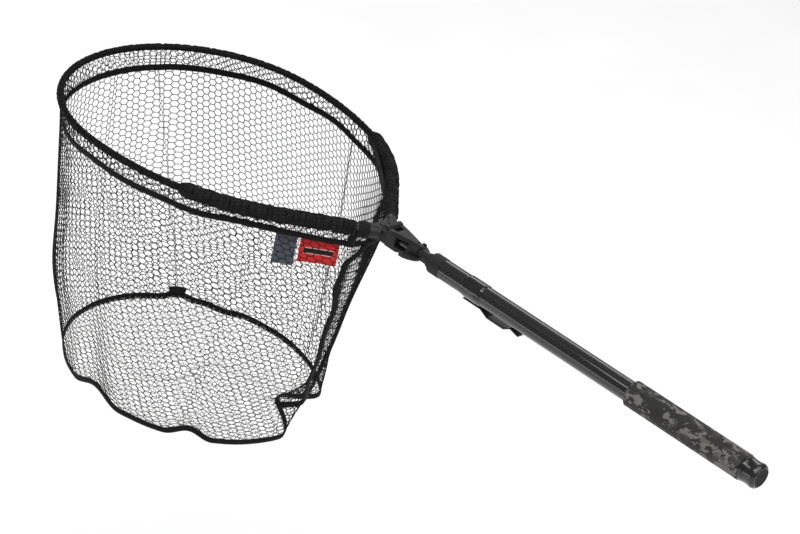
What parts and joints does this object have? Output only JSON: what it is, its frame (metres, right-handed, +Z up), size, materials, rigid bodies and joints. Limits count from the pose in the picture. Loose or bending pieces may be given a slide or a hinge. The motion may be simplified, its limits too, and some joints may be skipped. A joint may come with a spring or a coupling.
{
  "type": "landing net",
  "caption": "Folding landing net: pear-shaped hoop with a deep mesh bag, foam floats, lock hinge, telescopic handle with belt clip and foam grip.",
  "frame": {"origin": "middle of the grip, on the handle's axis", "axes": "+X along the handle towards the butt, -X towards the net, +Z up out of the hoop's mouth, so the bag hangs to -Z"},
  "size_m": [1.1617, 0.3974, 0.384],
  "materials": {
    "carbon": "fine weave under satin lacquer",
    "grip_foam": "closed-cell foam with a blotched camouflage print",
    "gloss_black": "gloss moulding",
    "matt_black": "fine matt moulding",
    "steel": "plated",
    "black_steel": "black-oxide finish",
    "spring_clip": "satin moulding",
    "alloy_black": "black anodised",
    "alloy_grey": "drawn tube",
    "lock_plastic": "plain moulding",
    "neck_black": "satin moulding",
    "head_plastic": "fine sparked moulding",
    "float_foam": "closed-cell foam",
    "netting": "rubber-coated knotless mesh",
    "tape": "woven binding tape",
    "tag_grey": "woven label cloth",
    "tag_red": "woven label cloth"
  },
  "bodies": {
    "handle": {"handle_tube": "carbon", "grip": "grip_foam", "butt_cap": "gloss_black", "butt_disc": "matt_black", "butt_plug": "matt_black", "clip_ring": "gloss_black", "ring_screw": "black_steel", "belt_clip": "spring_clip"},
    "pole": {"inner_tube": "alloy_black", "top_collar": "matt_black", "pole_insert": "alloy_black", "lock_stem": "matt_black", "lock_sleeve": "lock_plastic", "pole_neck": "neck_black", "lock_nut": "matt_black", "hinge_housing": "head_plastic", "housing_screw": "black_steel", "hinge_pin": "black_steel"},
    "release": {"lock_plunger": "gloss_black", "release_wings": "head_plastic", "release_spring": "steel"},
    "head": {"yoke": "head_plastic", "yoke_cover": "head_plastic", "cover_screw": "black_steel", "side_screws": "black_steel", "ferrule_left": "gloss_black", "ferrule_right": "gloss_black", "hoop_tube": "alloy_grey", "float_left": "float_foam", "float_right": "float_foam", "rim_sleeve": "netting", "bag_skirt": "netting", "upper_band": "tape", "bag_wall_1": "netting", "bag_wall_2": "netting", "bag_wall_3": "netting", "bag_wall_4": "netting", "bag_wall_5": "netting", "bag_wall_6": "netting", "bag_wall_7": "netting", "bag_wall_8": "netting", "base_band": "tape", "bag_base": "netting", "seam_tape": "tape", "grey_tag": "tag_grey", "red_tag": "tag_red"}
  },
  "joints": [
    {"name": "pole_slide", "type": "slide", "parent": "handle", "child": "pole", "axis": [-1, 0, 0], "range_m": [0, 0.38]},
    {"name": "head_fold", "type": "hinge", "parent": "pole", "child": "head", "pos_m": [-0.498, 0, 0.011], "axis": [0, 1, 0], "range_deg": [0, 178]},
    {"name": "release_slide", "type": "slide", "parent": "pole", "child": "release", "axis": [1, 0, 0], "range_m": [0, 0.008], "stiffness_N_per_m": 400, "springref_m": -0.004, "deforming": ["release_spring"]}
  ]
}
